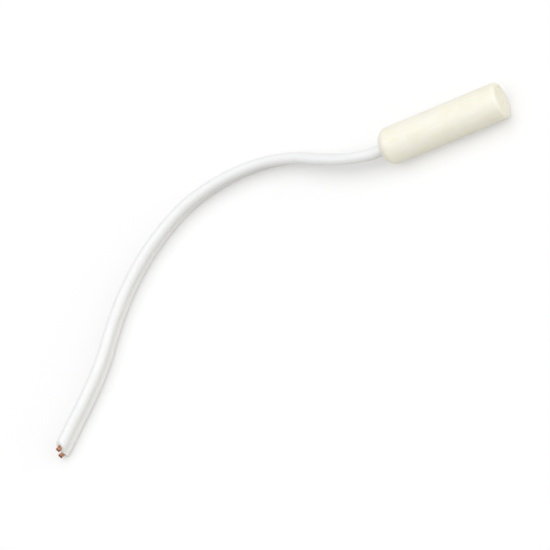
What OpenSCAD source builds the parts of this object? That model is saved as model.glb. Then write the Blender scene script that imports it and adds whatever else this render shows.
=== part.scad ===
// Temperature sensor in a round plastic capsule, on a short flat twin lead that is cut off bare.
// The capsule lies along X with its resin-filled open end at +X. The origin is on the surface
// that it lies on, under the middle of the capsule. The lead comes out of the closed end and
// lies on the same surface. All sizes are in millimetres.

/* [Capsule] */
// Outside diameter of the capsule
capsule_d = 7; // [6.8:0.1:8]
// Length of the capsule from end to end
capsule_len = 24.5; // [24.5:0.5:30]
// Thickness of the round wall
wall = 1; // [0.8:0.1:1.1]
// Thickness of the closed end that the lead comes through
end_wall = 1.5; // [1.2:0.1:1.8]
// Width of the 45 degree bevel round the closed end
bevel = 1.15; // [0.8:0.05:1.15]
// Radius of the softened edges of the bevel
edge_r = 0.2; // [0.1:0.05:0.25]
// Radius of the rim's outer edge at the open end
rim_r = 0.4; // [0.2:0.05:0.45]

/* [Resin] */
// How far the resin stops below the faces of both ends
resin_sink = 0.1; // [0.1:0.05:0.6]
// Gap round the lead in the closed end, which the resin seals
seal_gap = 0.1; // [0.05:0.01:0.12]

/* [Lead] */
// Diameter of one insulated core of the twin lead
core_d = 2.1; // [2:0.05:2.1]
// Thickness of the web that joins the two cores
web_w = 1; // [0.7:0.1:1.2]
// Diameter of one bundle of copper strands
copper_d = 0.9; // [0.6:0.05:1]
// Length of jacket inside the capsule
jacket_inside = 5.5; // [4.5:0.5:5.5]
// Lean of the section from upright where the lead leaves the capsule
lean_exit = 28; // [0:1:40]
// Lean of the section from upright at the cut end
lean_cut = 4; // [0:1:20]
// Slope of the cut across the lead, away from square
cut_slope = 16; // [0:1:25]

/* [Sensing element] */
// Side of the square thermistor chip
chip_side = 1.2; // [1:0.1:1.4]
// Thickness of the chip
chip_t = 0.5; // [0.4:0.05:0.6]
// Diameter of the chip's two wires
wire_d = 0.4; // [0.3:0.05:0.5]
// Largest diameter of the drop-shaped coating
coating_d = 2.7; // [2.5:0.1:3.2]
// Length of the coating
coating_len = 5; // [4.5:0.5:5.5]

/* [Splices] */
// Length of bare copper between the jacket and the chip's wires
copper_bare = 2.8; // [2.5:0.1:3.5]
// Outside diameter of a solder joint
solder_d = 1.4; // [1.3:0.05:1.5]
// Length of a solder joint
solder_len = 2.4; // [2:0.1:2.8]
// Outside diameter of an insulating sleeve
sleeve_d = 1.9; // [1.7:0.05:1.9]
// Length of an insulating sleeve
sleeve_len = 8.5; // [8:0.5:9]
// Gap between the end of the jacket and a sleeve, where the bare copper shows
sleeve_gap = 0.3; // [0.2:0.1:0.5]

/* [Hidden] */
$fn = 96;

capsule_r = capsule_d / 2;
bore_r = capsule_r - wall;
closed_x = -capsule_len / 2;
open_x = capsule_len / 2;
core_r = core_d / 2;
pitch = core_d;
copper_r = copper_d / 2;
wire_r = wire_d / 2;

// Straight wire past a sleeve, before the two wires close in on the chip
wire_past_sleeve = 0.5;
// Resin between the coating and the rim of the open end
coating_cover = 3;
// Distance from the drawn-out end of the coating to the middle of the chip
chip_depth = 2.2;
// Length of wire on the chip past its middle, as a share of the chip's side
wire_on_chip = 0.4;
// Extra length of a cut past the face it goes through
over = 1;

// Stations along the capsule, from the lead to the sensing element
jacket_x = closed_x + jacket_inside;
splice_x = jacket_x + copper_bare;
sleeve_x = jacket_x + sleeve_gap;
wire_bend_x = sleeve_x + sleeve_len + wire_past_sleeve;
coating_x = open_x - coating_len - coating_cover;
chip_x = coating_x + chip_depth;

// Distance of a chip wire from the axis: its flat is seated on the chip
wire_seat = 0.05;
wire_off = chip_t / 2 + wire_r - wire_seat;

// Middle line of the lead outside the capsule, ending at the cut. It leaves straight,
// comes down to the surface in about 20 mm and then lies on it, standing on its narrow edge.
ROUTE = [
    [-12.25, 0, 3.5], [-15, 0, 3.5], [-17.5, 0.5, 3.5], [-20, 1.2, 3.4], [-25.1, 3.4, 3],
    [-30.2, 6.1, 2.5], [-35.3, 7.7, 2.2], [-40.3, 8.3, 2.1], [-45.3, 8.1, 2.1], [-50.3, 7.2, 2.1],
    [-54.3, 5.9, 2.1], [-58.3, 3.8, 2.1], [-62.3, 1, 2.1], [-65.2, -1.5, 2.1], [-68.1, -4.6, 2.1],
    [-70.5, -7.6, 2.1], [-72.8, -11.1, 2.1], [-74.8, -14.6, 2.1], [-76.7, -18.2, 2.1],
    [-79.1, -21.8, 2.1], [-82, -25.5, 2.1], [-85.1, -29.1, 2.1], [-88.3, -32.8, 2.1]
];
// The bare copper turns a little aside past the cut
COPPER_TIP = [-89.05, -33.3, 2.2];

// The whole line of the copper, from the splice to the bare tip
LINE = concat([[splice_x, 0, capsule_r], [jacket_x, 0, capsule_r]], ROUTE, [COPPER_TIP]);
JACKET_I = 1;
EXIT_I = 2;
CUT_I = len(LINE) - 2;
TIP_I = len(LINE) - 1;

// Section of the twin jacket: two cores one above the other, joined by a web
TWIN = concat(
    [for (a = [0:45:180]) [core_r * cos(a), pitch / 2 + core_r * sin(a)]], [[-web_w / 2, 0]],
    [for (a = [180:45:360]) [core_r * cos(a), -pitch / 2 + core_r * sin(a)]], [[web_w / 2, 0]]);

// Points evenly round a circle, with as many as one core of the jacket has round it
SIDES = 8;
function ring_points(r, centre) =
    [for (k = [0:SIDES - 1]) let (a = k * 360 / SIDES) centre + r * [cos(a), sin(a)]];

// Section of one conductor, above (side 1) or below (side -1) the middle of the lead
function copper_section(side) = ring_points(copper_r, [0, side * pitch / 2]);

// Slot with round ends that the lead passes through
SLOT_R = core_r + seal_gap;
SLOT = concat(
    [for (a = [0:15:180]) [SLOT_R * cos(a), pitch / 2 + SLOT_R * sin(a)]],
    [for (a = [180:15:360]) [SLOT_R * cos(a), -pitch / 2 + SLOT_R * sin(a)]]);

// Points of a quarter circle round a centre, from one angle by 90 degrees
function quarter(centre, r, from, sign = 1) =
    [for (k = [0:5]) let (a = from + sign * 18 * k) centre + r * [cos(a), sin(a)]];

function unit(v) = v / norm(v);

// Direction of the line at point i
function heading(i) = unit(LINE[min(i + 1, TIP_I)] - LINE[max(i - 1, 0)]);

// Lean of the section at point i: constant in the capsule, then turning evenly to the cut
function lean(i) =
    lean_exit + (lean_cut - lean_exit) * (min(max(i, EXIT_I), CUT_I) - EXIT_I) / (CUT_I - EXIT_I);

// A section's point in space at point i of the line. Past the cut the section is slid along
// the lead in step with its height, which slopes the cut.
function placed(i, p) =
    let (
        ahead = heading(i),
        up = unit([0, 0, 1] - ahead * ahead.z),
        side = cross(up, ahead),
        across = side * cos(lean(i)) - up * sin(lean(i)),
        along_section = up * cos(lean(i)) + side * sin(lean(i)),
        slide = i >= CUT_I ? p.y * tan(cut_slope) : 0
    )
    LINE[i] + across * p.x + along_section * p.y - ahead * slide;

// Triangles of the wall between rings of n points each. Its outer side faces out, or in
// for the wall of a bore.
function wall_faces(first, n, step, rings, bore = false) =
    [for (r = [0:rings - 2], k = [0:n - 1]) let (
        a = first + r * step + k, b = first + r * step + (k + 1) % n, c = a + step, d = b + step)
        each bore ? [[a, b, d], [a, d, c]] : [[a, d, b], [a, c, d]]];

// Solid swept by a convex section along the line, from one point of it to another
module swept(section, first, last) {
    n = len(section);
    rings = last - first + 1;
    polyhedron(
        points = [for (i = [first:last], p = section) placed(i, p)],
        faces = concat(
            [[for (k = [0:n - 1]) k]],
            wall_faces(0, n, n, rings),
            [[for (k = [n - 1:-1:0]) (rings - 1) * n + k]]));
}

// The jacket's ring of points: its outside, the bores of both conductors and its middle
RING = concat(TWIN, copper_section(1), copper_section(-1), [[0, 0]]);
BORE_A = len(TWIN);
BORE_B = BORE_A + SIDES;
MIDDLE = BORE_B + SIDES;

// Outside points round each core, in step with the points of its bore
ROUND_A = [0, 1, 2, 3, 4, 5, MIDDLE, 11];
ROUND_B = [10, 11, MIDDLE, 5, 6, 7, 8, 9];

// Triangles of an end face round one bore
function end_faces(outer, bore, at, flip) =
    [for (k = [0:SIDES - 1]) let (
        j = (k + 1) % SIDES, a = at + outer[k], b = at + outer[j], c = at + bore + k, d = at + bore + j)
        each flip ? [[a, d, b], [a, c, d]] : [[a, b, d], [a, d, c]]];

// Jacket from its end in the capsule to the cut, with a bore round each conductor
module jacket_shape() {
    step = len(RING);
    rings = CUT_I - JACKET_I + 1;
    last = (rings - 1) * step;
    polyhedron(
        points = [for (i = [JACKET_I:CUT_I], p = RING) placed(i, p)],
        faces = concat(
            wall_faces(0, len(TWIN), step, rings),
            wall_faces(BORE_A, SIDES, step, rings, true),
            wall_faces(BORE_B, SIDES, step, rings, true),
            end_faces(ROUND_A, BORE_A, 0, false), end_faces(ROUND_B, BORE_B, 0, false),
            end_faces(ROUND_A, BORE_A, last, true), end_faces(ROUND_B, BORE_B, last, true)));
}

// Frame inside the capsule: local Z runs towards the open end from x, local X across the cores
module in_capsule(x) {
    translate([x, 0, capsule_r]) rotate([lean_exit, 0, 0]) rotate([0, 90, 0]) children();
}

// The same frame on the axis of one core, side 1 for the upper and -1 for the lower
module on_core(side, x) {
    in_capsule(x) translate([-side * pitch / 2, 0, 0]) children();
}

// Prism along the capsule with a section of the lead
module along_capsule(section, from_x, to_x) {
    in_capsule(from_x) linear_extrude(to_x - from_x)
        polygon([for (p = section) [-p.y, p.x]]);
}

// Half section of the moulding, with its axis along Y and its closed end at 0. A short flat
// softens each corner of the bevel.
function housing_section() = concat(
    [[0, 0]],
    [[capsule_r - bevel - edge_r / 2, 0], [capsule_r - bevel + edge_r / 4, edge_r / 4]],
    [[capsule_r - edge_r / 4, bevel - edge_r / 4], [capsule_r, bevel + edge_r / 2]],
    quarter([capsule_r - rim_r, capsule_len - rim_r], rim_r, 0),
    quarter([bore_r + edge_r / 2, capsule_len - edge_r / 2], edge_r / 2, 90),
    quarter([bore_r - edge_r, end_wall + edge_r], edge_r, 0, -1),
    [[0, end_wall]]);

// Moulded capsule: a tube, closed at the lead's end but for a slot, open at the other
module housing_shape() {
    difference() {
        in_capsule(closed_x) rotate_extrude() polygon(housing_section());
        along_capsule(SLOT, closed_x - over, closed_x + end_wall + over);
    }
}

// Bore of the capsule, as the resin fills it
module bore_fill() {
    in_capsule(closed_x) rotate_extrude() polygon(concat(
        [[0, end_wall]],
        quarter([bore_r - edge_r, end_wall + edge_r], edge_r, -90),
        [[bore_r, capsule_len - resin_sink], [0, capsule_len - resin_sink]]));
}

module copper(side) {
    swept(copper_section(side), 0, TIP_I);
}

module sleeve_outside(side) {
    on_core(side, sleeve_x) cylinder(d = sleeve_d, h = sleeve_len);
}

// Wire from the splice to the chip. It runs in along its sleeve, bends towards the axis and
// is seated with a flat on the chip's face.
module chip_wire(side) {
    outer = -side * pitch / 2;
    inner = -side * wire_off;
    path = [[outer, 0, 0], [outer, 0, wire_bend_x - splice_x],
        [inner, 0, coating_x + wire_r - splice_x],
        [inner, 0, chip_x + chip_side * wire_on_chip - splice_x]];
    ends = len(path) - 1;
    difference() {
        in_capsule(splice_x) polyhedron(
            points = [for (i = [0:ends], p = ring_points(wire_r, [0, 0])) let (
                run = unit(path[min(i + 1, ends)] - path[max(i - 1, 0)]))
                path[i] + p.x * cross([0, 1, 0], run) + p.y * [0, 1, 0]],
            faces = concat(
                [[for (k = [0:SIDES - 1]) k]],
                wall_faces(0, SIDES, SIDES, len(path)),
                [[for (k = [SIDES - 1:-1:0]) ends * SIDES + k]]));
        chip();
    }
}

module chip() {
    in_capsule(chip_x) cube([chip_t, chip_side, chip_side], center = true);
}

// Drop of coating: round towards the open end, drawn out to a neck round the wires at the other
module coating_outside() {
    r = coating_d / 2;
    neck_r = 0.75;
    round_z = coating_len - r;
    in_capsule(coating_x) rotate_extrude() polygon(concat(
        [[0, 0]],
        [for (k = [0:8]) [neck_r + (r - neck_r) * sin(k * 90 / 8), round_z * k / 8]],
        [for (a = [10:10:80]) [r * cos(a), round_z + r * sin(a)]],
        [[0, coating_len]]));
}

module housing() {
    color([0.93, 0.90, 0.80]) housing_shape();
}

module potting_compound() {
    color([0.85, 0.77, 0.62]) difference() {
        union() {
            bore_fill();
            along_capsule(SLOT, closed_x + resin_sink, closed_x + end_wall + edge_r);
        }
        along_capsule(TWIN, closed_x - over, jacket_x);
        for (side = [1, -1]) {
            along_capsule(copper_section(side), jacket_x - over, splice_x);
            sleeve_outside(side);
            chip_wire(side);
        }
        coating_outside();
    }
}

module lead_jacket() {
    color([0.95, 0.95, 0.93]) jacket_shape();
}

module conductor_a() {
    color([0.80, 0.52, 0.36]) copper(1);
}

module conductor_b() {
    color([0.80, 0.52, 0.36]) copper(-1);
}

// Solder round the butted ends of one conductor and one chip wire
module solder_joint(side) {
    r = solder_d / 2;
    copper_end_r = r * 0.75;
    wire_end_r = r * 0.45;
    slope_len = solder_len * 0.2;
    color([0.75, 0.76, 0.78]) difference() {
        on_core(side, splice_x - solder_len / 2) rotate_extrude() polygon([[0, 0],
            [copper_end_r, 0], [r, slope_len], [r, solder_len - slope_len],
            [wire_end_r, solder_len], [0, solder_len]]);
        along_capsule(copper_section(side), splice_x - solder_len, splice_x);
        along_capsule(ring_points(wire_r, [0, side * pitch / 2]), splice_x, splice_x + solder_len);
    }
}

module solder_joint_a() {
    solder_joint(1);
}

module solder_joint_b() {
    solder_joint(-1);
}

// Sleeve that grips the solder joint
module insulating_sleeve(side) {
    color([0.18, 0.18, 0.19]) difference() {
        sleeve_outside(side);
        on_core(side, sleeve_x - over) cylinder(d = solder_d, h = sleeve_len + 2 * over);
    }
}

module insulating_sleeve_a() {
    insulating_sleeve(1);
}

module insulating_sleeve_b() {
    insulating_sleeve(-1);
}

module thermistor_wire_a() {
    color([0.78, 0.79, 0.80]) chip_wire(1);
}

module thermistor_wire_b() {
    color([0.78, 0.79, 0.80]) chip_wire(-1);
}

module thermistor_chip() {
    color([0.30, 0.31, 0.33]) chip();
}

module thermistor_coating() {
    color([0.12, 0.12, 0.13]) difference() {
        coating_outside();
        chip();
        chip_wire(1);
        chip_wire(-1);
    }
}

housing();
potting_compound();
lead_jacket();
conductor_a();
conductor_b();
solder_joint_a();
solder_joint_b();
insulating_sleeve_a();
insulating_sleeve_b();
thermistor_wire_a();
thermistor_wire_b();
thermistor_chip();
thermistor_coating();
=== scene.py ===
import random
from math import asin, ceil, cos, pi, radians, sin, sqrt, tan, tau

import bmesh
import bpy
from mathutils import Matrix, Vector, noise
from mathutils.geometry import tessellate_polygon


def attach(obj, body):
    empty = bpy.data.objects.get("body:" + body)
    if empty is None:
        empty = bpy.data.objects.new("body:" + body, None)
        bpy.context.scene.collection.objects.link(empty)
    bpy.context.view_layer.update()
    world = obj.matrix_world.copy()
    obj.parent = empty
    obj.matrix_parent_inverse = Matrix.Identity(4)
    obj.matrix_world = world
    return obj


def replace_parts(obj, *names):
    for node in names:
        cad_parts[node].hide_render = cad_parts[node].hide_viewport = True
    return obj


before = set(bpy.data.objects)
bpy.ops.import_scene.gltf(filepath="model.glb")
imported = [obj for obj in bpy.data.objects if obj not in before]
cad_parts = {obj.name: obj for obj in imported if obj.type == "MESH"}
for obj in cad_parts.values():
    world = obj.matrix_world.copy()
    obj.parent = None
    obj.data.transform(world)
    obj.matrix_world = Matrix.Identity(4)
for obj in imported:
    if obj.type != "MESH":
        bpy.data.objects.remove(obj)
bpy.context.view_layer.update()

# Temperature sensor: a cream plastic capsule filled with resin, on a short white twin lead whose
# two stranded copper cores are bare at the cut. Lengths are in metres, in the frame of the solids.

MM = 0.001

# Capsule, as in the solids
CAPSULE_R = 3.5 * MM
BORE_R = 2.5 * MM
CAPSULE_LEN = 24.5 * MM
CLOSED_X = -CAPSULE_LEN / 2
OPEN_X = CAPSULE_LEN / 2
END_WALL = 1.5 * MM
BEVEL = 1.15 * MM
EDGE_R = 0.2 * MM
RESIN_SINK = 0.1 * MM
CAST_X = OPEN_X - RESIN_SINK
SEAL_GAP = 0.1 * MM

# Capsule, softer than in the solids: the open end's rim, the bevel's outer corner, the slot's edge
RIM_R = 0.7 * MM
SHOULDER_R = 1.2 * MM
SLOT_LIP = 0.06 * MM

# Points of the capsule's mesh
POINTS_AROUND = 128
BARREL_STEPS = 12
CORNER_POINTS = 6
SHOULDER_POINTS = 9
SLOT_POINTS = 21

# Cast face of the resin: its rings as shares of the rim, its climb at the wall, and its lumps and
# grit, which fade over the calm edge. The grit is read at another level of the noise.
CAST_RINGS = (0.985, 0.96, 0.93, 0.9, 0.86, 0.82, 0.77, 0.71, 0.65, 0.58, 0.5, 0.42, 0.34, 0.26,
              0.18, 0.1)
CLIMB = 0.05 * MM
CLIMB_REACH = 0.5 * MM
LUMP_HEIGHT = 0.04 * MM
LUMP_SIZE = 1.1 * MM
GRIT_HEIGHT = 0.015 * MM
GRIT_SIZE = 0.35 * MM
GRIT_LEVEL = 5 * MM
CALM_EDGE = 0.3 * MM

# Tolerances for welding the points of a solid and for finding its flat face
WELD = 1e-4 * MM
FLAT = 0.001 * MM

# Lead, as in the solids
CORE_R = 1.05 * MM
PITCH = 2 * CORE_R
WEB = 1 * MM
COPPER_R = 0.45 * MM
JACKET_X = CLOSED_X + 5.5 * MM
SPLICE_X = JACKET_X + 2.8 * MM
LEAN_EXIT = radians(28)
LEAN_CUT = radians(4)
CUT_SLOPE = radians(16)

# Lead, other than in the solids: a fill that makes both grooves shallower, and a slope for the
# cut face of each core, which blend into each other between the cores
GROOVE_FILL = 0.6 * MM
UPPER_FACE_SLOPE = radians(34)
LOWER_FACE_SLOPE = radians(8)
FACE_BLEND = 0.7 * MM
CUT_EDGE_R = 0.07 * MM

# Middle line of the lead from the closed end of the capsule to the cut
ROUTE = [Vector(p) * MM for p in (
    (-12.25, 0, 3.5), (-15, 0, 3.5), (-17.5, 0.5, 3.5), (-20, 1.2, 3.4), (-25.1, 3.4, 3),
    (-30.2, 6.1, 2.5), (-35.3, 7.7, 2.2), (-40.3, 8.3, 2.1), (-45.3, 8.1, 2.1), (-50.3, 7.2, 2.1),
    (-54.3, 5.9, 2.1), (-58.3, 3.8, 2.1), (-62.3, 1, 2.1), (-65.2, -1.5, 2.1), (-68.1, -4.6, 2.1),
    (-70.5, -7.6, 2.1), (-72.8, -11.1, 2.1), (-74.8, -14.6, 2.1), (-76.7, -18.2, 2.1),
    (-79.1, -21.8, 2.1), (-82, -25.5, 2.1), (-85.1, -29.1, 2.1), (-88.3, -32.8, 2.1))]
COPPER_TIP = Vector((-89.05, -33.3, 2.2)) * MM
LINE = [Vector((SPLICE_X, 0, CAPSULE_R)), Vector((JACKET_X, 0, CAPSULE_R)), *ROUTE, COPPER_TIP]

# Points of LINE where the jacket starts, leaves the capsule and is cut, and where the copper ends
JACKET_I = 1
EXIT_I = 2
CUT_I = len(LINE) - 2
TIP_I = len(LINE) - 1

# How far back from the cut its slope begins, then two lengths counted in points of LINE: how far
# the last full ring is from the cut, and how far to each side the line's direction is taken
CUT_REACH = 3 * MM
CUT_EDGE_U = 0.03
TANGENT_U = 0.02

# Mesh of the jacket: the step between its rings, and the points of each part of a ring
JACKET_STEP = 0.4 * MM
CORE_POINTS = 41
GROOVE_POINTS = 9
BORE_POINTS = 24

# Copper strands: rings of them as number and distance from the middle of the core, the radius of
# a strand and its share at the tip, the points round it, and the length of one turn of the lay
STRAND_RINGS = ((5, 0.165 * MM), (11, 0.35 * MM))
STRAND_R = 0.1 * MM
STRAND_TIP_SHARE = 0.72
STRAND_SIDES = 8
LAY_LENGTH = 16 * MM

# Steps along a strand in the jacket, then as shares of its bare end, and how much the length of
# the bare end and the turn of the strand vary by chance
STRAND_STEP = 2 * MM
BARE_SHARES = (0.25, 0.5, 0.68, 0.93, 1)
TIP_SCATTER = 0.1
TURN_SCATTER = 0.1

# View of the photograph: how far the camera looks down, and how the capsule's axis lies in it
LOOK_DOWN = radians(53.6)
AXIS_TILT = radians(22.1)
AXIS_TOWARDS = radians(22)
PICTURE = 550
CAPSULE_PX = Vector((442.6, 124.4))
PX_PER_M = 5530
CAMERA_AWAY = 0.6
SENSOR_MM = 36
NEAREST = 0.01
FARTHEST = 20

# Light: even white surroundings, and lamps as name, strength, breadth and direction of the light
AMBIENT = 0.5
LAMPS = (
    ("overhead", 1.44, radians(80), Vector((0.05, -0.05, -1))),
    ("side", 0.9, radians(55), Vector((-0.92, 0.17, -0.35))))

# Floor: half its side, its colour for the light that it throws back, and for the camera
FLOOR_HALF = 3.0
FLOOR_BOUNCE = (0.67, 0.65, 0.59)
FLOOR_SEEN = (0.95, 0.95, 0.95)
# Share of plain white in the floor as the camera sees it, which lightens the shadows
SHADOW_LIFT = 0.3
WHITE = (1, 1, 1, 1)

# Colours, each from its palest shade to its deepest
CREAM = ((0.92, 0.902, 0.8), (0.915, 0.887, 0.76), (0.905, 0.862, 0.71))
TAN = ((0.965, 0.932, 0.815), (0.945, 0.906, 0.78), (0.915, 0.873, 0.71))
VINYL = ((0.858, 0.862, 0.864), (0.838, 0.842, 0.844))
COPPER = ((0.52, 0.29, 0.18), (0.33, 0.16, 0.085))
# The darker copper for the cut ends is painted shade, not a colour the copper has
CUT_COPPER_PAINTED_SHADE = ((0.26, 0.11, 0.06), (0.14, 0.05, 0.025))

# Edges that bend further than this are shaded sharp
SHARP = radians(40)


def added(name, data):
    """A new object of the data, in the scene."""
    obj = bpy.data.objects.new(name, data)
    bpy.context.scene.collection.objects.link(obj)
    return obj


def camera():
    """Camera at the photograph's angle and scale, with no shift."""
    turn = AXIS_TOWARDS
    rise = LOOK_DOWN
    # The capsule's axis and the upward direction, as seen from the camera
    along = Vector((cos(turn) * cos(AXIS_TILT), cos(turn) * sin(AXIS_TILT), sin(turn)))
    roll = AXIS_TILT + asin(tan(turn) * tan(rise))
    up = Vector((-sin(roll) * cos(rise), cos(roll) * cos(rise), sin(rise)))
    axes = Matrix((along, up.cross(along), up))
    aim = (Vector((PICTURE / 2, PICTURE / 2)) - CAPSULE_PX) / PX_PER_M
    target = Vector((0, 0, CAPSULE_R)) + axes.col[0] * aim.x - axes.col[1] * aim.y
    data = bpy.data.cameras.new("camera")
    data.sensor_width = SENSOR_MM
    data.lens = SENSOR_MM * CAMERA_AWAY * PX_PER_M / PICTURE
    data.clip_start = NEAREST
    data.clip_end = FARTHEST
    obj = added("camera", data)
    obj.matrix_world = Matrix.Translation(target + axes.col[2] * CAMERA_AWAY) @ axes.to_4x4()
    bpy.context.scene.camera = obj


# Meshes

class Skin:
    """A closed mesh that is built from rings of points."""

    def __init__(self):
        self.points = []
        self.faces = []

    def ring(self, points):
        """Adds a ring and gives the numbers of its points."""
        first = len(self.points)
        self.points += points
        return list(range(first, len(self.points)))

    def wall(self, rings):
        """Joins each ring to the next, all with the same number of points."""
        for near, far in zip(rings, rings[1:]):
            for i in range(len(near)):
                j = (i + 1) % len(near)
                self.faces.append((near[i], near[j], far[j], far[i]))

    def cap(self, ring, holes=()):
        """Fills a ring, round any holes in it."""
        loops = [ring, *holes]
        flat = [i for loop in loops for i in loop]
        for triangle in tessellate_polygon([[self.points[i] for i in loop] for loop in loops]):
            self.faces.append(tuple(flat[i] for i in triangle))

    def piece(self, name, material):
        """The finished piece of the model."""
        mesh = bpy.data.meshes.new(name)
        mesh.from_pydata(self.points, [], self.faces)
        return dressed(mesh, name, material)


def dressed(mesh, name, material):
    """A piece of the mesh, with its faces turned outwards, its material and only body."""
    edit = bmesh.new()
    edit.from_mesh(mesh)
    bmesh.ops.recalc_face_normals(edit, faces=edit.faces)
    for face in edit.faces:
        face.smooth = True
    edit.to_mesh(mesh)
    edit.free()
    mesh.set_sharp_from_angle(angle=SHARP)
    mesh.materials.append(material)
    obj = added(name, mesh)
    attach(obj, "root")
    return obj


def arc(centre, r, start, end, count):
    """Points of an arc, both ends included."""
    angles = [start + (end - start) * i / (count - 1) for i in range(count)]
    return [(centre[0] + r * cos(a), centre[1] + r * sin(a)) for a in angles]


def circle(centre, r, count):
    """Points of a whole circle."""
    return arc(centre, r, 0, tau * (count - 1) / count, count)


# Line of the lead

def spline_point(a, b, c, d, t):
    """Point at t from 0 to 1 between b and c on a smooth curve through all four."""
    knots = [0.0]
    for p, q in ((a, b), (b, c), (c, d)):
        knots.append(knots[-1] + sqrt((q - p).length))
    at = knots[1] + t * (knots[2] - knots[1])

    def mix(p, q, start, end):
        return p.lerp(q, (at - knots[start]) / (knots[end] - knots[start]))

    first = mix(a, b, 0, 1)
    second = mix(b, c, 1, 2)
    third = mix(c, d, 2, 3)
    return mix(mix(first, second, 0, 2), mix(second, third, 1, 3), 1, 2)


def line_point(u):
    """Point of the lead's line at u, which counts the points of LINE."""
    i = min(int(u), TIP_I - 1)
    before = LINE[i - 1] if i else 2 * LINE[0] - LINE[1]
    after = LINE[i + 2] if i + 2 <= TIP_I else 2 * LINE[TIP_I] - LINE[TIP_I - 1]
    return spline_point(before, LINE[i], LINE[i + 1], after, u - i)


def stations(first, last, step):
    """Values of u from one point of LINE to another, about step apart along the line."""
    found = [float(first)]
    for i in range(first, last):
        count = ceil((LINE[i + 1] - LINE[i]).length / step)
        found += [i + (k + 1) / count for k in range(count)]
    return found


def leaned(up, side, angle):
    """Directions across the cores and from one core to the other, at that lean from upright."""
    return side * cos(angle) - up * sin(angle), up * cos(angle) + side * sin(angle)


def lean(u):
    """Lean of the section from upright: even in the capsule, then turning to the cut."""
    share = (min(max(u, EXIT_I), CUT_I) - EXIT_I) / (CUT_I - EXIT_I)
    return LEAN_EXIT + (LEAN_CUT - LEAN_EXIT) * share


def section_axes(u):
    """Directions ahead, across the cores and from one core to the other."""
    ahead = line_point(min(u + TANGENT_U, TIP_I)) - line_point(max(u - TANGENT_U, 0))
    ahead.normalize()
    up = (Vector((0, 0, 1)) - ahead * ahead.z).normalized()
    return ahead, *leaned(up, up.cross(ahead), lean(u))


def placed(u, section, setback):
    """Points of a section set on the line at u, each set back by a function of its height."""
    ahead, across, cores = section_axes(u)
    centre = line_point(u)
    return [centre + across * x + cores * y - ahead * setback(y) for x, y in section]


# Twin lead

def twin_section(inset=0.0):
    """Outline of two round cores joined by a web, with a fillet that softens each groove."""
    neck = WEB + GROOVE_FILL
    fillet_r = (neck / 2) ** 2 / (PITCH - neck)
    fillet_x = neck / 2 + fillet_r
    start = -Vector((fillet_x, -CORE_R)).angle(Vector((1, 0)))
    upper = arc((0, CORE_R), CORE_R - inset, start, pi - start, CORE_POINTS)
    groove = arc((-fillet_x, 0), fillet_r + inset, -start, start, GROOVE_POINTS)
    half = upper + groove[1:-1]
    return half + [(-x, -y) for x, y in half]


def bore_section(side):
    """Round bore of one core, where side is 1 for the upper core and -1 for the lower one."""
    return circle((0, side * PITCH / 2), COPPER_R, BORE_POINTS)


def cut_share(u):
    """Share of the cut's slope that a section takes: none up to the last few millimetres."""
    if u >= CUT_I:
        return 1.0
    return max(0.0, 1 - (line_point(u) - LINE[CUT_I]).length / CUT_REACH)


def jacket_setback(u):
    """How far a section of the jacket is set back, by height. Each core's face has its slope."""
    share = cut_share(u)
    centre_back = PITCH / 2 * tan(CUT_SLOPE)

    def setback(y):
        upper = centre_back + (y - PITCH / 2) * tan(UPPER_FACE_SLOPE)
        lower = -centre_back + (y + PITCH / 2) * tan(LOWER_FACE_SLOPE)
        towards_upper = min(1.0, max(0.0, y / FACE_BLEND + 0.5))
        return share * (lower + (upper - lower) * towards_upper)

    return setback


def jacket_ring(skin, u, section):
    """Adds a ring of the jacket, set back for the cut."""
    return skin.ring(placed(u, section, jacket_setback(u)))


def twin_lead(material):
    """Jacket of the lead, from its end in the capsule to the cut, with both bores."""
    skin = Skin()
    stops = stations(JACKET_I, CUT_I, JACKET_STEP)
    cut = stops[-1]
    outside = [jacket_ring(skin, u, twin_section()) for u in stops[:-1]]
    outside.append(jacket_ring(skin, cut - CUT_EDGE_U, twin_section()))
    outside.append(jacket_ring(skin, cut, twin_section(CUT_EDGE_R)))
    skin.wall(outside)
    bores = []
    for side in (1, -1):
        bore = [jacket_ring(skin, u, bore_section(side)) for u in stops]
        skin.wall(bore)
        bores.append(bore)
    skin.cap(outside[0], [bore[0] for bore in bores])
    skin.cap(outside[-1], [bore[-1] for bore in bores])
    lead = skin.piece("twin_lead", material)
    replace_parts(lead, "lead_jacket")
    return lead, [line_point(u) for u in stops]


# Copper cores

def strand(skin, stops, side, start, off):
    """One strand, wound round the middle of its core. Gives the faces at its cut end, for painted
    shade.
    """
    rings = []
    run = 0.0
    for i, u in enumerate(stops):
        if i:
            run += (line_point(u) - line_point(stops[i - 1])).length
        angle = start + tau * run / LAY_LENGTH
        middle = (off * cos(angle), side * PITCH / 2 + off * sin(angle))
        r = STRAND_R * (STRAND_TIP_SHARE if u == stops[-1] else 1)
        back = cut_share(u) * side * PITCH / 2 * tan(CUT_SLOPE)
        section = circle(middle, r, STRAND_SIDES)
        rings.append(skin.ring(placed(u, section, lambda height: back)))
    skin.cap(rings[0])
    skin.wall(rings[:-2])
    # The last two steps and the cut end get the darker copper, which is painted shade
    first_cut_face = len(skin.faces)
    skin.wall(rings[-3:])
    skin.cap(rings[-1])
    return range(first_cut_face, len(skin.faces))


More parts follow.
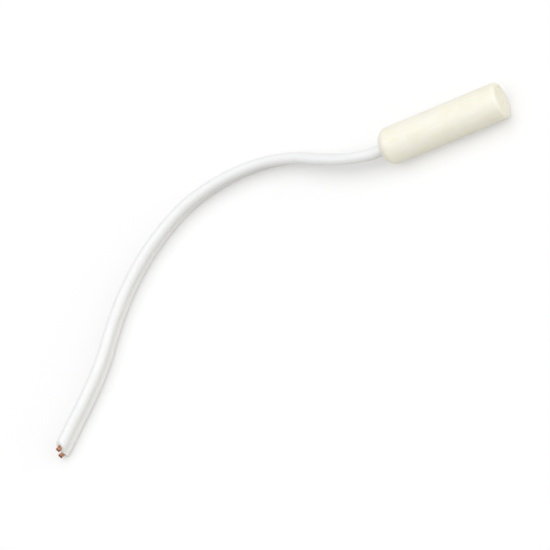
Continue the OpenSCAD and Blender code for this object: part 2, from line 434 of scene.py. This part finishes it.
def copper_strands(name, side, materials, node, seed):
    """The bundle of strands of one core, from its splice to its bare tip."""
    chance = random.Random(seed)
    skin = Skin()
    cut_faces = []
    covered = stations(0, CUT_I, STRAND_STEP)
    for count, off in STRAND_RINGS:
        for i in range(count):
            tip = TIP_I - chance.uniform(0.0, TIP_SCATTER)
            bare = [CUT_I + (tip - CUT_I) * share for share in BARE_SHARES]
            start = tau * i / count + chance.uniform(-TURN_SCATTER, TURN_SCATTER)
            cut_faces += strand(skin, covered + bare, side, start, off)
    core = skin.piece(name, materials[0])
    # The faces at the cut ends take the second material, a darker copper that is painted shade
    core.data.materials.append(materials[1])
    for i in cut_faces:
        core.data.polygons[i].material_index = 1
    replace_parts(core, node)
    return core


# Capsule

def capsule_ring(along, r):
    """Ring of the capsule at a distance from its closed end."""
    angles = [tau * i / POINTS_AROUND for i in range(POINTS_AROUND)]
    return [Vector((CLOSED_X + along, r * sin(a), CAPSULE_R + r * cos(a))) for a in angles]


def corner(centre, r, start, end, count=CORNER_POINTS):
    """Points of a rounded corner of the half section, as distance along and radius."""
    return arc(centre, r, radians(start), radians(end), count)


def barrel_profile():
    """Half section of the moulding from the face of its closed end to the face inside."""
    # How far a corner of 45 degrees reaches to each side, for a radius of 1
    reach = tan(radians(45 / 2))
    foot = (EDGE_R, CAPSULE_R - BEVEL - EDGE_R * reach)
    shoulder = (BEVEL + SHOULDER_R * reach, CAPSULE_R - SHOULDER_R)
    rim_in = EDGE_R / 2
    return (
        corner(foot, EDGE_R, 180, 135)
        + corner(shoulder, SHOULDER_R, 135, 90, SHOULDER_POINTS)
        + [(CAPSULE_LEN * i / BARREL_STEPS, CAPSULE_R) for i in range(1, BARREL_STEPS)]
        + corner((CAPSULE_LEN - RIM_R, CAPSULE_R - RIM_R), RIM_R, 90, 0)
        + corner((CAPSULE_LEN - rim_in, BORE_R + rim_in), rim_in, 0, -90)
        + [(CAPSULE_LEN / 2, BORE_R)]
        + corner((END_WALL + EDGE_R, BORE_R - EDGE_R), EDGE_R, 90, 180))


def slot_ring(along, r):
    """Outline of the slot for the lead at a distance from the closed end."""
    upper = arc((0, PITCH / 2), r, 0, pi, SLOT_POINTS)
    lower = arc((0, -PITCH / 2), r, pi, tau, SLOT_POINTS)
    # The side of the lead is towards -Y here, because the lead heads towards -X
    across, cores = leaned(Vector((0, 0, 1)), Vector((0, -1, 0)), LEAN_EXIT)
    centre = Vector((CLOSED_X + along, 0, CAPSULE_R))
    return [centre + across * x + cores * y for x, y in upper + lower]


def housing(material):
    """Moulded capsule: a thin tube with a bevelled closed end, slotted for the lead."""
    skin = Skin()
    barrel = [skin.ring(capsule_ring(*place)) for place in barrel_profile()]
    skin.wall(barrel)
    slot_r = CORE_R + SEAL_GAP
    slot = [skin.ring(slot_ring(along, r)) for along, r in (
        (0, slot_r + SLOT_LIP), (SLOT_LIP / 3, slot_r + SLOT_LIP / 3), (SLOT_LIP, slot_r),
        (END_WALL, slot_r))]
    skin.wall(slot)
    skin.cap(barrel[0], [slot[0]])
    skin.cap(barrel[-1], [slot[-1]])
    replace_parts(skin.piece("capsule_housing", material), "housing")


# Resin

def welded_copy(node):
    """A copy of a solid's mesh with its faces joined along their edges."""
    edit = bmesh.new()
    edit.from_mesh(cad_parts[node].data)
    bmesh.ops.remove_doubles(edit, verts=edit.verts, dist=WELD)
    return edit


def angle_round_axis(point):
    """Angle of a point of the mesh round the capsule's axis."""
    return Vector((point.co.y, point.co.z - CAPSULE_R)).angle_signed(Vector((0, 1)))


def opened_rim(edit):
    """Takes away the solid's flat cast face and gives the points round it, in order."""
    flat = [f for f in edit.faces if all(abs(v.co.x - CAST_X) < FLAT for v in f.verts)]
    bmesh.ops.delete(edit, geom=flat, context="FACES")
    return sorted((v for v in edit.verts if v.is_boundary), key=angle_round_axis)


def resin_height(p):
    """How far the cast face stands above its mean level at a point of it."""
    from_wall = BORE_R - Vector((p.y, p.z - CAPSULE_R)).length
    climb = CLIMB * max(0.0, 1 - from_wall / CLIMB_REACH) ** 2
    lumps = LUMP_HEIGHT * noise.noise(Vector((p.y, p.z, 0)) / LUMP_SIZE)
    grit = GRIT_HEIGHT * noise.noise(Vector((p.y, p.z, GRIT_LEVEL)) / GRIT_SIZE)
    return climb + (lumps + grit) * min(1.0, from_wall / CALM_EDGE)


def cast_face(edit, rim):
    """Closes the rim with an uneven face of rings that shrink to its middle."""
    middle = Vector((CAST_X, 0, CAPSULE_R))
    rings = [rim]
    for share in CAST_RINGS:
        rings.append([edit.verts.new(middle.lerp(v.co, share)) for v in rim])
    for outer, inner in zip(rings, rings[1:]):
        for i in range(len(rim)):
            j = (i + 1) % len(rim)
            edit.faces.new((outer[i], outer[j], inner[j], inner[i]))
    edit.faces.new(rings[-1])
    for ring in rings:
        for v in ring:
            v.co.x += resin_height(v.co)


def resin(material):
    """Cast resin: the solid's own form, with an uneven face that climbs a little at the wall."""
    edit = welded_copy("potting_compound")
    cast_face(edit, opened_rim(edit))
    mesh = bpy.data.meshes.new("resin_fill")
    edit.to_mesh(mesh)
    edit.free()
    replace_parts(dressed(mesh, "resin_fill", material), "potting_compound")


# Nodes of the materials

def shader_material(name, **values):
    """New node material with the shader's own constant values set on its sockets."""
    material = bpy.data.materials.new(name)
    material.use_nodes = True
    shader = material.node_tree.nodes["Principled BSDF"]
    for key, value in values.items():
        shader.inputs[key.replace("_", " ")].default_value = value
    return material, material.node_tree, shader


def speckle(tree, size, detail, stretch=(1, 1, 1)):
    """Noise with features of about that size, in metres, drawn out by the stretch."""
    place = tree.nodes.new("ShaderNodeTexCoord")
    scale = tree.nodes.new("ShaderNodeMapping")
    scale.inputs["Scale"].default_value = [1 / (size * s) for s in stretch]
    grain = tree.nodes.new("ShaderNodeTexNoise")
    grain.inputs["Scale"].default_value = 1
    grain.inputs["Detail"].default_value = detail
    tree.links.new(place.outputs["Object"], scale.inputs["Vector"])
    tree.links.new(scale.outputs["Vector"], grain.inputs["Vector"])
    return grain.outputs["Fac"]


def ramp(tree, value, stops):
    """Colours or grey levels along a value, as (place, level or colour) stops."""
    made = tree.nodes.new("ShaderNodeValToRGB")
    elements = made.color_ramp.elements
    for i, (place, colour) in enumerate(stops):
        # A new ramp has two stops already
        element = elements[i] if i < 2 else elements.new(place)
        element.position = place
        shade = (colour,) * 3 if isinstance(colour, (int, float)) else colour
        element.color = (*shade, 1)
    tree.links.new(value, made.inputs["Fac"])
    return made.outputs["Color"]


def spread(tree, value, first, last, start=0.3, end=0.7):
    """Colour or grey level that goes from first to last as the value goes from start to end."""
    return ramp(tree, value, ((start, first), (end, last)))


def mixed(tree, share, a, b, how="MIX"):
    """Two colours mixed by a share, which is a number or a socket."""
    made = tree.nodes.new("ShaderNodeMix")
    made.data_type = "RGBA"
    made.blend_type = how
    for name, value in (("Factor", share), ("A", a), ("B", b)):
        socket = next(s for s in made.inputs if s.name == name and s.enabled)
        if isinstance(value, bpy.types.NodeSocket):
            tree.links.new(value, socket)
        else:
            socket.default_value = value if name == "Factor" else (*value, 1)
    return next(s for s in made.outputs if s.enabled)


def bump(tree, shader, height, depth, under=None):
    """Bump of that depth, in metres, from a height from 0 to 1, over any other bump."""
    made = tree.nodes.new("ShaderNodeBump")
    made.inputs["Distance"].default_value = depth
    tree.links.new(height, made.inputs["Height"])
    if under is not None:
        tree.links.new(under, made.inputs["Normal"])
    tree.links.new(made.outputs["Normal"], shader.inputs["Normal"])
    return made.outputs["Normal"]


# Materials

def cream_plastic():
    """Satin moulded plastic, a little yellower in cloudy patches, with faint lengthwise flow."""
    material, tree, shader = shader_material(
        "cream_plastic", IOR=1.5, Specular_IOR_Level=0.5, Subsurface_Weight=0.15,
        Subsurface_Radius=(1.0, 0.8, 0.35), Subsurface_Scale=1.5 * MM)
    clouds = speckle(tree, size=2.6 * MM, detail=3)
    flow = speckle(tree, size=0.5 * MM, detail=2, stretch=(9, 1, 1))
    body = ramp(tree, clouds, zip((0.3, 0.55, 0.75), CREAM))
    streaks = spread(tree, flow, 0.93, 1.0, start=0.35, end=0.65)
    colour = mixed(tree, 0.35, body, streaks, how="MULTIPLY")
    tree.links.new(colour, shader.inputs["Base Color"])
    tree.links.new(spread(tree, clouds, 0.38, 0.5), shader.inputs["Roughness"])
    low = bump(tree, shader, flow, depth=0.012 * MM)
    bump(tree, shader, speckle(tree, size=0.12 * MM, detail=2), depth=0.004 * MM, under=low)
    return material


def cast_resin():
    """Dull tan resin, mottled pink and olive."""
    material, tree, shader = shader_material(
        "cast_resin", IOR=1.5, Subsurface_Weight=0.1, Subsurface_Radius=(0.8, 0.5, 0.3),
        Subsurface_Scale=0.8 * MM)
    blotches = speckle(tree, size=1.1 * MM, detail=4)
    grains = speckle(tree, size=0.25 * MM, detail=2)
    body = ramp(tree, blotches, zip((0.32, 0.5, 0.68), TAN))
    flecks = spread(tree, grains, 0.86, 1.0, end=0.6)
    colour = mixed(tree, 0.5, body, flecks, how="MULTIPLY")
    tree.links.new(colour, shader.inputs["Base Color"])
    tree.links.new(spread(tree, grains, 0.5, 0.65), shader.inputs["Roughness"])
    bump(tree, shader, grains, depth=0.02 * MM)
    return material


def white_vinyl():
    """Smooth white vinyl with a soft sheen, hardly marked."""
    material, tree, shader = shader_material(
        "white_vinyl", IOR=1.5, Subsurface_Weight=0.1, Subsurface_Radius=(0.8, 0.8, 0.8),
        Subsurface_Scale=0.8 * MM)
    wear = speckle(tree, size=3.5 * MM, detail=4)
    tree.links.new(spread(tree, wear, *VINYL), shader.inputs["Base Color"])
    tree.links.new(spread(tree, wear, 0.3, 0.42), shader.inputs["Roughness"])
    low = bump(tree, shader, speckle(tree, size=4 * MM, detail=1), depth=0.01 * MM)
    bump(tree, shader, speckle(tree, size=0.2 * MM, detail=2), depth=0.002 * MM, under=low)
    return material


def browned_and_shaded_copper(name, shades):
    """Copper in patches of two shades: a little browned on the strands, darkened at the cut ends
    as painted shade.
    """
    material, tree, shader = shader_material(name, Metallic=1.0)
    tarnish = speckle(tree, size=0.35 * MM, detail=3)
    body = spread(tree, tarnish, *shades, start=0.35, end=0.65)
    tree.links.new(body, shader.inputs["Base Color"])
    tree.links.new(spread(tree, tarnish, 0.4, 0.6), shader.inputs["Roughness"])
    bump(tree, shader, speckle(tree, size=0.05 * MM, detail=2), depth=0.002 * MM)
    return material


def inner_material(name, light, dark, roughness, size, metallic=0.0):
    """Material of a small piece inside: two shades in patches of that size, and fine grain."""
    material, tree, shader = shader_material(name, Metallic=metallic, IOR=1.5)
    patches = speckle(tree, size, detail=3)
    body = spread(tree, patches, dark, light, start=0.35, end=0.65)
    tree.links.new(body, shader.inputs["Base Color"])
    tree.links.new(spread(tree, patches, *roughness), shader.inputs["Roughness"])
    bump(tree, shader, speckle(tree, size / 4, detail=2), depth=0.004 * MM)
    return material


def dress_inner_nodes():
    """Materials for the solids that are shown as they are, all inside the capsule."""
    solder = inner_material(
        "solder", light=(0.72, 0.73, 0.75), dark=(0.6, 0.61, 0.63), roughness=(0.22, 0.4),
        size=0.5 * MM, metallic=1.0)
    tinned = inner_material(
        "tinned_wire", light=(0.76, 0.77, 0.78), dark=(0.66, 0.67, 0.68), roughness=(0.2, 0.35),
        size=0.3 * MM, metallic=1.0)
    sleeve = inner_material(
        "black_sleeve", light=(0.035, 0.035, 0.037), dark=(0.02, 0.02, 0.022),
        roughness=(0.4, 0.55), size=0.8 * MM)
    chip = inner_material(
        "chip_ceramic", light=(0.11, 0.11, 0.12), dark=(0.07, 0.07, 0.08), roughness=(0.5, 0.7),
        size=0.2 * MM)
    coating = inner_material(
        "coating_resin", light=(0.03, 0.03, 0.032), dark=(0.015, 0.015, 0.017),
        roughness=(0.15, 0.3), size=1.2 * MM)
    wanted = {
        "solder_joint_a": solder, "solder_joint_b": solder,
        "insulating_sleeve_a": sleeve, "insulating_sleeve_b": sleeve,
        "thermistor_wire_a": tinned, "thermistor_wire_b": tinned,
        "thermistor_chip": chip, "thermistor_coating": coating}
    for node, material in wanted.items():
        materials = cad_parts[node].data.materials
        materials.clear()
        materials.append(material)


# Floor and light

def seen_directly(tree):
    """1 for rays from the camera or by way of a gloss or glass, else 0."""
    path = tree.nodes.new("ShaderNodeLightPath")
    total = path.outputs["Is Camera Ray"]
    for name in ("Is Glossy Ray", "Is Transmission Ray"):
        larger = tree.nodes.new("ShaderNodeMath")
        larger.operation = "MAXIMUM"
        tree.links.new(total, larger.inputs[0])
        tree.links.new(path.outputs[name], larger.inputs[1])
        total = larger.outputs[0]
    return total


def floor_white():
    """Plain white, with shadows lightened where it is seen."""
    material, tree, shader = shader_material(
        "floor_white", Roughness=0.9, Specular_IOR_Level=0.0)
    seen = seen_directly(tree)
    tree.links.new(mixed(tree, seen, FLOOR_BOUNCE, FLOOR_SEEN), shader.inputs["Base Color"])
    lift = tree.nodes.new("ShaderNodeMath")
    lift.operation = "MULTIPLY"
    lift.inputs[1].default_value = SHADOW_LIFT
    tree.links.new(seen, lift.inputs[0])
    emission = tree.nodes.new("ShaderNodeEmission")
    emission.inputs["Color"].default_value = WHITE
    both = tree.nodes.new("ShaderNodeMixShader")
    tree.links.new(lift.outputs[0], both.inputs["Fac"])
    tree.links.new(shader.outputs["BSDF"], both.inputs[1])
    tree.links.new(emission.outputs["Emission"], both.inputs[2])
    tree.links.new(both.outputs["Shader"], tree.nodes["Material Output"].inputs["Surface"])
    return material


def floor():
    """Flat surface that the part lies on."""
    half = FLOOR_HALF
    corners = [(-half, -half, 0), (half, -half, 0), (half, half, 0), (-half, half, 0)]
    mesh = bpy.data.meshes.new("floor")
    mesh.from_pydata(corners, [], [(0, 1, 2, 3)])
    mesh.materials.append(floor_white())
    added("floor", mesh)


def surroundings():
    """Even light from all round, which is plain white where it is seen."""
    world = bpy.data.worlds.new("surroundings")
    world.use_nodes = True
    tree = world.node_tree
    background = tree.nodes["Background"]
    level = tree.nodes.new("ShaderNodeMix")
    level.data_type = "FLOAT"
    # Inputs 2 and 3 are the two levels that input 0 chooses between
    level.inputs[2].default_value = AMBIENT
    level.inputs[3].default_value = 1.0
    tree.links.new(seen_directly(tree), level.inputs[0])
    tree.links.new(level.outputs[0], background.inputs["Strength"])
    background.inputs["Color"].default_value = WHITE
    bpy.context.scene.world = world


def lamps():
    """The lamps, all of parallel light."""
    for name, strength, breadth, aim in LAMPS:
        lamp = bpy.data.lights.new(name, "SUN")
        lamp.energy = strength
        lamp.angle = breadth
        obj = added(name, lamp)
        obj.rotation_mode = "QUATERNION"
        obj.rotation_quaternion = aim.to_track_quat("-Z", "Y")


def build():
    """The whole scene. The camera and the cord come first."""
    camera()
    lead, centres = twin_lead(white_vinyl())
    # The second copper is darker, as painted shade at the cut ends
    copper = (browned_and_shaded_copper("drawn_copper", COPPER), browned_and_shaded_copper("cut_copper_painted_shade", CUT_COPPER_PAINTED_SHADE))
    cores = [copper_strands("copper_strands_a", 1, copper, "conductor_a", seed=3),
             copper_strands("copper_strands_b", -1, copper, "conductor_b", seed=8)]
    housing(cream_plastic())
    resin(cast_resin())
    dress_inner_nodes()
    floor()
    surroundings()
    lamps()
    bpy.context.scene.view_settings.view_transform = "Standard"


build()
